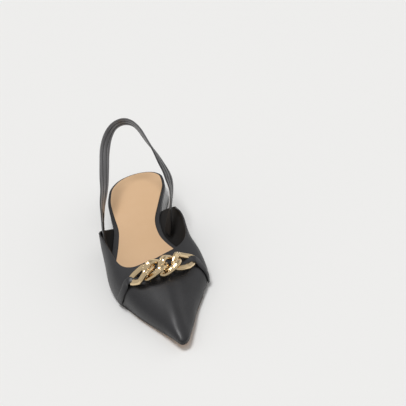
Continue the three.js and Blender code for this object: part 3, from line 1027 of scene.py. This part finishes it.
@dataclass
class SoleUnit:
    """Outsole, covered wedge, foot bed with its folded rim, and sock."""

    wardrobe: Wardrobe
    nodes: dict[str, Object]
    edge_round_mm: float = 0.35
    wedge_round_mm: float = 0.4
    rim_round_mm: float = 0.5
    rim_rise_mm: float = 0.3
    sock_inset_mm: float = 0.1
    sock_inset_from_mm: float = -10.0
    cup_rise_mm: float = 0.5
    cup_from: float = 0.3
    # A face whose normal points down more than this is tread.
    tread_facing: float = -0.95
    # A shallow dent across the seat, and the foot bed's fuller outer side at the waist and the quarter.
    dent: Crease = Crease((-3.5, -8.0, 14.0), (-18.0, -38.0, 14.0), 7.5, -1.5)
    waist: Swell = Swell((-25.0, -22.0, 14.0), (-24.0, -52.0, 14.0), 13.0, (-1.5, 0.0, 0.0))
    quarter: Swell = Swell((-34.0, -82.0, 13.0), (-37.0, -122.0, 10.0), 14.0, (-2.0, 0.0, 0.0))
    seat_radius_mm: float = 26.0
    seat_from_mm: float = -70.0
    seat_to_mm: float = -30.0

    def build(self) -> list[Object]:
        """Builds the four pieces of the bottom and returns them."""
        return [self._outsole(), self._wedge(), self._foot_bed(), self._sock()]

    def _seat(self, at: Vector) -> float:
        """Returns 1 over the heel's seat and 0 from the waist on."""
        return smoothstep(self.seat_from_mm * MM, self.seat_to_mm * MM, at.y)

    def _cup(self, at: Vector) -> float:
        """Returns how far the padded seat rises towards its sides."""
        side = abs(at.x) / (self.seat_radius_mm * MM)
        return self._seat(at) * self.cup_rise_mm * MM * smoothstep(self.cup_from, 1.0, side)

    def _plate(self, bm: BMesh, name: str, width_mm: float, materials: list[Material]) -> Object:
        """Rounds a plate's sharp edges and smooths it."""
        Forming.round_off(bm, Forming.sharp_edges(bm), width_mm * MM)
        return Forming.finished(bm, name, materials)

    def _trimmed(self, node: str) -> BMesh:
        """Returns a welded solid, trimmed round the toe like the upper."""
        bm = Forming.welded(self.nodes[node])
        for vertex in bm.verts:
            vertex.co += sum((swell.shift(vertex.co) for swell in TOE_TRIM), Vector())
        bm.normal_update()
        return bm

    def _outsole(self) -> Object:
        """Builds the outsole: rubber tread and a painted edge."""
        bm = self._trimmed("outsole")
        finishes = [self.wardrobe.rubber, self.wardrobe.edge_paint_and_shade]
        piece = self._plate(bm, "outsole_rubber", self.edge_round_mm, finishes)
        for face in piece.data.polygons:
            face.material_index = 1 if face.normal.z > self.tread_facing else 0
        return Forming.dress(piece, Slot.SOLE, "outsole")

    def _wedge(self) -> Object:
        """Builds the wedge and its smooth cover."""
        bm = Forming.welded(self.nodes["heel_block"])
        piece = self._plate(bm, "heel_wedge_cover", self.wedge_round_mm, [self.wardrobe.wedge_cover])
        return Forming.dress(piece, Slot.LEATHER, "heel_block")

    def _foot_bed(self) -> Object:
        """Builds the foot bed, whose folded leather rim stands up round the heel's seat."""
        bm = self._trimmed("footbed")
        top = set(max(Forming.patches(bm)[:2], key=lambda patch: Forming.mean_normal(patch).z))
        for vertex in {v for f in top for v in f.verts}:
            on_rim = any(f not in top for f in vertex.link_faces)
            vertex.co += self.waist.shift(vertex.co) + self.quarter.shift(vertex.co)
            vertex.co.z += self._cup(vertex.co) + on_rim * self._seat(vertex.co) * self.rim_rise_mm * MM
        bm.normal_update()
        piece = self._plate(bm, "foot_bed_rim", self.rim_round_mm, [self.wardrobe.leather])
        return Forming.dress(piece, Slot.LEATHER, "footbed")

    def _sock(self) -> Object:
        """Builds the sock, which ends inside the rim at the heel and rises with the padded seat."""
        bm = Forming.welded(self.nodes["sock"])
        for vertex in bm.verts:
            seat = self._seat(vertex.co) * self.sock_inset_mm / self.seat_radius_mm
            vertex.co.x *= 1 - seat
            vertex.co.y -= seat * max(0.0, vertex.co.y - self.sock_inset_from_mm * MM)
            vertex.co += self.waist.shift(vertex.co)
            vertex.co.z += self._cup(vertex.co) + self.dent.rise(vertex.co)
        bm.normal_update()
        piece = self._plate(bm, "sock_lining", self.edge_round_mm, [self.wardrobe.sock])
        return Forming.dress(piece, Slot.LINING, "sock")


class StrapSide(IntEnum):
    """Surfaces of the heel strap, in the order of its materials.

    They are its outer face, its cut edges in black as painted shade, its satin-lined inside, and the inside's
    ends within the quarters in dark lining as painted shade.
    """

    FACE = 0
    EDGE = 1
    LINED = 2
    COVERED = 3


@dataclass
class Straps:
    """The narrow strap over the vamp and the loop behind the heel."""

    wardrobe: Wardrobe
    nodes: dict[str, Object]
    shell: Object
    edge_round_mm: float = 0.2
    # The vamp strap's width at its feet and under the chain, and its thickness, as shares of its solid's.
    foot_width: float = 1.12
    bridge_width: float = 0.95
    vamp_thin: float = 0.75
    bridge_middle_mm: float = 9.0
    bridge_half_mm: float = 25.0
    bridge_blend_mm: float = 5.0
    vamp_fold_deg: float = 40.0
    facing_up: float = 0.7
    # How the loop's legs bow sideways and turn about their run.
    loop_swells: tuple[Swell, ...] = (
        Swell((24.9, -30.6, 44.6), (20.2, -11.1, 49.8), 20.0, (3.0, 0.0, 0.0)),
        Swell((-30.0, -60.0, 34.0), (-31.0, -90.0, 27.0), 16.0, (-1.7, 0.0, 0.0)),
    )
    loop_twists: tuple[Twist, ...] = (
        Twist((-28.5, -46.0, 36.6), 16.0, 9.0),
        Twist((12.5, 12.0, 62.0), 15.0, -16.0),
    )
    # The vamp strap's middle lies this far off the vamp, and rises over the end bars of the chain.
    hug_mm: float = 0.6
    over_bar_mm: float = 0.8
    over_bar_gain: float = 1.4
    bar_width_mm: float = 4.0
    bars_mm: tuple[Point, ...] = ((-15.3, -167.5, 25.0), (37.1, -149.4, 22.0))
    ease_rounds: int = 2
    # The satin lining and the stitches start at this height, near the quarters' upper corners; below it the
    # inside is dark lining as painted shade.
    lined_above_mm: float = 33.0
    channel_reach_mm: float = 0.8
    stitch_sink_mm: float = 0.2

    def build(self) -> list[Object]:
        """Builds both straps and the loop's stitching, and returns them."""
        return [self._over_vamp(), *self._loop()]

    def _over_vamp(self) -> Object:
        """Builds the strap over the vamp: thin and flat, laid low over the end bars of the chain."""
        bm = Forming.welded(self.nodes["vamp_strap"])
        start = max((f for f in bm.faces if f.normal.z > self.facing_up), key=lambda f: f.calc_area())
        sections = Sections(bm, Strip.longest(start))
        count = len(sections.rings)
        leather = BVHTree.FromPolygons(
            [v.co for v in self.shell.data.vertices],
            [p.vertices for p in self.shell.data.polygons if p.material_index == 0],
        )
        middles = [sections.middle(i) for i in range(count)]
        laid = []
        for middle in middles:
            near, normal, *_ = leather.find_nearest(middle)
            over = self.over_bar_gain * max(fade(middle, bar, bar, self.bar_width_mm) for bar in self.bars_mm)
            hugging = near + normal * self.hug_mm * MM
            laid.append(hugging.lerp(middle + Vector((0, 0, self.over_bar_mm * MM)), min(1.0, over)))
        for _ in range(self.ease_rounds):
            inner = [laid[i].lerp((laid[i - 1] + laid[i + 1]) / 2, 0.5) for i in range(1, count - 1)]
            laid = [laid[0], *inner, laid[-1]]
        for i in range(count):
            away = abs(middles[i].x / MM - self.bridge_middle_mm) - self.bridge_half_mm
            on_foot = smoothstep(0.0, self.bridge_blend_mm, away)
            wide = self.bridge_width + (self.foot_width - self.bridge_width) * on_foot
            sections.scale(i, wide, self.vamp_thin, laid[i] - middles[i])
        bm.normal_update()
        Forming.round_off(bm, Forming.sharp_edges(bm, self.vamp_fold_deg), self.edge_round_mm * MM)
        strap = Forming.finished(bm, "vamp_strap_leather", [self.wardrobe.leather])
        return Forming.dress(strap, Slot.LEATHER, "vamp_strap")

    def _loop(self) -> list[Object]:
        """Builds the loop: folded leather and two sewn channels on each face, with painted shade in the
        channels, on the edges and on the inside's ends.
        """
        bm = Forming.welded(self.nodes["slingback_strap"])
        faces, backs, *sides = Forming.patches(bm)
        # The strap's cut edges take the black as painted shade.
        for face in [f for side in sides for f in side]:
            face.material_index = StrapSide.EDGE
        for face in backs if self._faces_heel(backs) else faces:
            # Below the lining height the inside takes the dark microfibre as painted shade, where the quarter
            # shades it.
            lined = face.calc_center_median().z > self.lined_above_mm * MM
            face.material_index = StrapSide.LINED if lined else StrapSide.COVERED
        shape = Sections(bm, Strip.longest(max(faces, key=lambda f: f.calc_area())))
        for i in range(len(shape.rings)):
            middle = shape.middle(i)
            shape.turn(i, sum(twist.turn(middle) for twist in self.loop_twists))
            shape.scale(i, 1.0, 1.0, sum((swell.shift(middle) for swell in self.loop_swells), Vector()))
        bm.normal_update()
        rows = []
        seams = SeamField()
        for patch in (faces, backs):
            strip = Strip.longest(max(patch, key=lambda f: f.calc_area()))
            rows += Channel().press(bm, strip)
        # The channels' seam press also paints shade into their grooves.
        for line, _ in rows:
            seams.add(line, self.channel_reach_mm)
        bm.normal_update()
        Forming.round_off(bm, Forming.sharp_edges(bm), self.edge_round_mm * MM)
        finishes = {
            StrapSide.FACE: self.wardrobe.strap_leather,
            StrapSide.EDGE: self.wardrobe.edge_paint_and_shade,
            StrapSide.LINED: self.wardrobe.strap_lining,
            StrapSide.COVERED: self.wardrobe.lining,
        }
        loop = Forming.finished(bm, "heel_strap_leather", [finishes[side] for side in StrapSide])
        seams.write(loop.data)
        stitches = Stitching(self.wardrobe.thread).sew("heel_strap_stitches", self._sunk(rows))
        Forming.dress(loop, Slot.LEATHER, "slingback_strap")
        Forming.dress(stitches, Slot.LEATHER)
        return [loop, stitches]

    @staticmethod
    def _faces_heel(patch: list[BMFace]) -> bool:
        """Says whether a patch of the loop is its inner side."""
        centre = sum((f.calc_center_median() for f in patch), Vector()) / len(patch)
        inwards = sum(f.normal.dot(centre - f.calc_center_median()) * f.calc_area() for f in patch)
        return inwards > 0

    def _sunk(self, rows: list[Seam]) -> list[Seam]:
        """Returns the stitch rows above the quarters, moved down into their channels."""
        above = []
        depth = self.stitch_sink_mm * MM
        for points, normals in rows:
            kept = [(p - n * depth, n) for p, n in zip(points, normals) if p.z > self.lined_above_mm * MM]
            above.append(([p for p, _ in kept], [n for _, n in kept]))
        return above


@dataclass
class Chain:
    """Curb chain of four links, cast and plated, each with a shallow flute along its top."""

    wardrobe: Wardrobe
    nodes: dict[str, Object]
    links: tuple[str, ...] = ("outer", "middle_a", "middle_b", "inner")
    run: Point = (0.96, 0.26, 0.0)
    # A link's width, its height and its height at the bar, as shares of its solid's.
    widen: float = 1.45
    heighten: float = 1.25
    bar_height: float = 0.95
    # Each section moves this far towards the link's middle, so the wider link keeps its outline.
    draw_in_mm: float = 0.45
    # Back and front corner of each end link where the strap crosses it.
    ends_mm: dict[str, tuple[Point, Point]] = field(
        default_factory=lambda: {
            "outer": ((-14.8, -163.1, 26.2), (-15.9, -171.1, 22.9)),
            "inner": ((37.0, -143.5, 22.6), (37.2, -155.3, 19.5)),
        }
    )
    # How square an end link is at the strap: 2 is an ellipse.
    square_power: float = 3.6
    corner_gain: float = 1.04
    # The share of its half length at which an end link is fully drawn out.
    drawn_at: float = 0.5
    ease_rounds: int = 5
    moved_mm: float = 0.05
    # Where the bar starts and is whole, along the link and across it, as shares of its half size.
    bar_along: tuple[float, float] = (0.75, 0.95)
    bar_across: tuple[float, float] = (0.3, 0.6)
    flute_edge_mm: float = 0.65
    flute_depth_mm: float = 0.28
    facet_mm: float = 0.14
    facet_deg: float = 24.0

    def build(self) -> list[Object]:
        """Builds the links and returns them."""
        return [self._link(name) for name in self.links]

    def _link(self, name: str) -> Object:
        """Builds one link from its solid."""
        node = "chain_link_" + name
        bm = Forming.welded(self.nodes[node])
        top = Strip.longest(max(bm.faces, key=lambda f: f.normal.z))
        sections = Sections(bm, top)
        count = len(sections.rings)
        middles = [sections.middle(i) for i in range(count)]
        centre = sum(middles, Vector()) / count
        run = Vector(self.run).normalized()
        side = Vector((-run.y, run.x, 0))
        halves = tuple(max(abs((m - centre).dot(way)) for m in middles) for way in (run, side))
        drawn = [self._drawn(name, middle, centre, halves) for middle in middles]
        places = self._eased([place for place, _ in drawn], middles)
        sections.follow(places)
        for i, (place, (_, bar)) in enumerate(zip(places, drawn)):
            across, _ = sections.axes[i]
            away = across if (place - centre).dot(across) > 0 else -across
            high = self.heighten + (self.bar_height - self.heighten) * bar
            sections.scale(i, self.widen, high, -away * self.draw_in_mm * MM)
        bmesh.ops.inset_region(
            bm,
            faces=top.faces,
            thickness=self.flute_edge_mm * MM,
            depth=-self.flute_depth_mm * MM,
            use_even_offset=True,
        )
        bm.normal_update()
        Forming.round_off(bm, Forming.sharp_edges(bm, self.facet_deg), self.facet_mm * MM, 1)
        piece = Forming.finished(bm, "gold_link_" + name, [self.wardrobe.plating])
        return Forming.dress(piece, Slot.METAL, node)

    def _eased(self, places: list[Vector], middles: list[Vector]) -> list[Vector]:
        """Returns a link's path with the stretches that were drawn away from their old middles evened out."""
        count = len(places)
        for _ in range(self.ease_rounds):
            between = [(places[i - 1] + places[(i + 1) % count]) / 2 for i in range(count)]
            moved = [(place - middle).length > self.moved_mm * MM for place, middle in zip(places, middles)]
            places = [places[i].lerp(between[i], 0.5) if moved[i] else places[i] for i in range(count)]
        return places

    def _drawn(
        self, name: str, at: Vector, centre: Vector, halves: tuple[float, float]
    ) -> tuple[Vector, float]:
        """Draws the end of an end link out into two prongs that run side by side to the strap.

        Args:
            name: which link.
            at: middle of a section.
            centre: middle of the link.
            halves: half length and half width of the link, in metres.

        Returns:
            The section's new middle, and how far it belongs to the bar under the strap.
        """
        if name not in self.ends_mm:
            return at, 0.0
        back, front = (Vector(corner) * MM for corner in self.ends_mm[name])
        reach = (back + front) / 2 - centre
        spread = (back - front) / 2
        along = Vector((reach.x, reach.y, 0)).normalized()
        side = (Vector((spread.x, spread.y, 0)) - along * along.dot(spread)).normalized()
        u, v = (at - centre).dot(along) / halves[0], (at - centre).dot(side) / halves[1]
        if u <= 0:
            return at, 0.0
        power = self.square_power
        grow = math.hypot(u, v) / (u**power + abs(v) ** power) ** (1 / power) * self.corner_gain
        drawn = at.lerp(centre + reach * u * grow + spread * v * grow, smoothstep(0.0, self.drawn_at, u))
        return drawn, smoothstep(*self.bar_along, u) * (1 - smoothstep(*self.bar_across, abs(v)))


@dataclass(frozen=True)
class Studio:
    """Pale floor, soft lights and the photograph's camera."""

    azimuth_deg: float = -2.66
    elevation_deg: float = 29.85
    roll_deg: float = -8.72
    distance_mm: float = 857.83
    focal_px: float = 1016.68
    frame_px: float = 406.0
    sensor_mm: float = 36.0
    aim_mm: Point = (5.8, -100.0, 8.0)
    pan_right_mm: float = -42.28
    pan_up_mm: float = -38.97
    floor_half_m: float = 60.0
    key_from: Point = (-0.14, 0.11, 0.985)
    key_strength: float = 1.6
    key_spread_deg: float = 22.0
    base_level: float = 0.54
    sweep_level: float = 0.9
    # For each glow of the room: towards where, how many degrees wide, and its gain, below zero for a shade.
    walls: tuple[tuple[Point, float, float], ...] = (
        ((-0.7, 0.2, 0.6), 60.0, 0.08),
        ((0.75, 0.4, 0.5), 35.0, 0.35),
        ((0.2, 0.7, 0.6), 35.0, -0.2),
    )

    def camera(self) -> Object:
        """Places the camera.

        Returns:
            The camera.
        """
        azimuth, elevation, roll = (
            math.radians(a) for a in (self.azimuth_deg, self.elevation_deg, self.roll_deg)
        )
        back = Vector(
            (
                math.sin(azimuth) * math.cos(elevation),
                -math.cos(azimuth) * math.cos(elevation),
                math.sin(elevation),
            )
        )
        right = Vector((math.cos(azimuth), math.sin(azimuth), 0))
        up = back.cross(right)
        turned_right = right * math.cos(roll) + up * math.sin(roll)
        turned_up = up * math.cos(roll) - right * math.sin(roll)
        place = (
            Vector(self.aim_mm)
            + back * self.distance_mm
            - turned_right * self.pan_right_mm
            - turned_up * self.pan_up_mm
        ) * MM
        data = bpy.data.cameras.new("photo_camera")
        data.sensor_width = self.sensor_mm
        data.lens = self.focal_px / self.frame_px * self.sensor_mm
        data.clip_start = 0.05
        camera = bpy.data.objects.new("photo_camera", data)
        axes = Matrix((turned_right, turned_up, back)).transposed().to_4x4()
        camera.matrix_world = Matrix.Translation(place) @ axes
        bpy.context.scene.collection.objects.link(camera)
        bpy.context.scene.camera = camera
        return camera

    def floor(self) -> Object:
        """Lays the pale floor.

        Returns:
            The floor.
        """
        bm = bmesh.new()
        bmesh.ops.create_grid(bm, x_segments=1, y_segments=1, size=self.floor_half_m)
        mesh = bpy.data.meshes.new("floor")
        bm.to_mesh(mesh)
        bm.free()
        # Painted studio floor: pale and matt.
        mesh.materials.append(Finish("pale_floor", "#ebebea", roughness=0.9).build())
        floor = bpy.data.objects.new("floor", mesh)
        bpy.context.scene.collection.objects.link(floor)
        return floor

    def key(self) -> Object:
        """Hangs the key light, a wide soft source nearly overhead.

        Returns:
            The light.
        """
        data = bpy.data.lights.new("key", "SUN")
        data.energy = self.key_strength
        data.angle = math.radians(self.key_spread_deg)
        lamp = bpy.data.objects.new("key", data)
        lamp.rotation_euler = Vector(self.key_from).to_track_quat("Z", "Y").to_euler()
        bpy.context.scene.collection.objects.link(lamp)
        return lamp

    def surround(self) -> World:
        """Lights the room: an even base, a faint glow on the left, a bright one on the right, a shade behind.

        Returns:
            The world.
        """
        world = bpy.data.worlds.new("studio")
        world.use_nodes = True
        tree = world.node_tree
        way = add_node(tree, "ShaderNodeTexCoord").outputs["Generated"]
        level: NodeSocket | float = self.base_level
        for towards, spread, gain in self.walls:
            facing = add_node(
                tree,
                "ShaderNodeVectorMath",
                {0: way, 1: Vector(towards).normalized()},
                operation="DOT_PRODUCT",
            )
            patch = add_node(
                tree,
                "ShaderNodeMapRange",
                {
                    "Value": facing.outputs["Value"],
                    "From Min": math.cos(math.radians(spread)),
                    "From Max": 1.0,
                    "To Min": 0.0,
                    "To Max": gain,
                },
                interpolation_type="SMOOTHSTEP",
            )
            level = add_node(
                tree, "ShaderNodeMath", {0: patch.outputs["Result"], 1: level}, operation="ADD"
            ).outputs[0]
        # The camera itself sees the sweep behind the floor, as pale as the floor.
        seen = add_node(tree, "ShaderNodeLightPath").outputs["Is Camera Ray"]
        level = add_node(
            tree, "ShaderNodeMix", {"Factor": seen, "A": level, "B": self.sweep_level}, data_type="FLOAT"
        ).outputs["Result"]
        sky = tree.nodes["Background"]
        sky.inputs["Color"].default_value = linear("#f7f6f5")
        tree.links.new(level, sky.inputs["Strength"])
        bpy.context.scene.world = world
        return world

    def build(self) -> None:
        """Sets up the camera, the floor, the lights and the surrounding light."""
        self.camera()
        self.floor()
        self.key()
        self.surround()
        bpy.context.scene.view_settings.view_transform = "Standard"


def main() -> None:
    """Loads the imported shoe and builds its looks."""
    logging.basicConfig(level=logging.INFO, format="%(name)s %(message)s")
    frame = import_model()
    nodes = frame["nodes"]
    Studio().build()
    wardrobe = Wardrobe()
    shell = Upper(wardrobe, nodes["upper"]).build()
    SoleUnit(wardrobe, nodes).build()
    Straps(wardrobe, nodes, shell).build()
    Chain(wardrobe, nodes).build()


if __name__ == "__main__":
    main()
